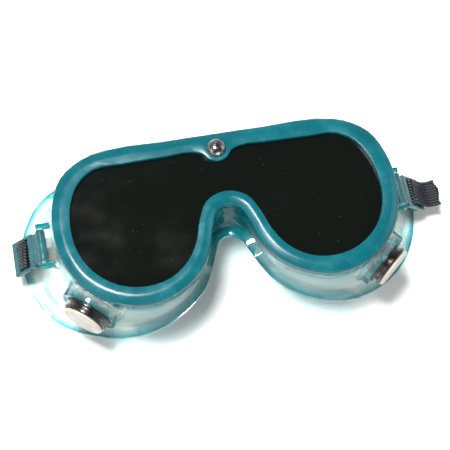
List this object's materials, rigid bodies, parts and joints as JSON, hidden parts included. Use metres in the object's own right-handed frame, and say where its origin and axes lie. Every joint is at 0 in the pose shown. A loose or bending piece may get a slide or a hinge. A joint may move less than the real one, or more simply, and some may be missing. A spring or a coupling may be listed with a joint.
{
  "type": "welding goggles",
  "caption": "Mask-style welding goggles: a soft clear body with a flared face flange, a push-on teal front rim over one wide dark filter, covered round vents and an elastic head strap.",
  "frame": {"origin": "on the table, under the centre of the bounding box", "axes": "+Z out through the filter window, +Y towards the forehead, X across the face; the goggles lie on their face flange"},
  "size_m": [0.2024, 0.0864, 0.0479],
  "materials": {
    "clear_green_pvc": "soft moulded PVC, milky clear with a green tint, glossy",
    "teal_bezel": "soft moulded plastic, satin",
    "filter_dark": "polished dark green welding filter",
    "stud_nickel": "bright nickel plate",
    "vent_dark": "glossy brown-black moulding",
    "vent_cream": "satin cream moulding",
    "clip_teal": "glossy moulding",
    "elastic_black": "ribbed woven elastic"
  },
  "bodies": {
    "goggle_body": {"body_skirt": "clear_green_pvc", "filter_lens": "filter_dark", "strap_band": "elastic_black", "stud_ball": "stud_nickel", "stud_eyelet": "stud_nickel", "vent_baffle_brow_left": "vent_dark", "vent_baffle_brow_right": "vent_dark", "vent_baffle_cheek_left": "vent_dark", "vent_baffle_cheek_right": "vent_dark", "vent_base_brow_left": "vent_dark", "vent_base_brow_right": "vent_dark", "vent_base_cheek_left": "vent_dark", "vent_base_cheek_right": "vent_dark", "vent_cap_brow_left": "vent_cream", "vent_cap_brow_right": "vent_cream", "vent_cap_cheek_left": "vent_cream", "vent_cap_cheek_right": "vent_cream"},
    "front_rim": {"front_bezel": "teal_bezel", "stud_cap": "stud_nickel", "stud_socket": "stud_nickel"},
    "left_clip": {"strap_clip_left": "clip_teal", "strap_end_left": "elastic_black"},
    "right_clip": {"strap_clip_right": "clip_teal", "strap_end_right": "elastic_black"}
  },
  "joints": [
    {"name": "bezel_release", "type": "slide", "parent": "goggle_body", "child": "front_rim", "axis": [0, 0, 1], "range_m": [0, 0.025]},
    {"name": "left_clip_swivel", "type": "hinge", "parent": "goggle_body", "child": "left_clip", "pos_m": [-0.08727, 0.00425, 0.0228], "axis": [0, 1, 0], "range_deg": [-5, 90]},
    {"name": "right_clip_swivel", "type": "hinge", "parent": "goggle_body", "child": "right_clip", "pos_m": [0.07873, 0.00425, 0.0228], "axis": [0, -1, 0], "range_deg": [-5, 90]}
  ]
}
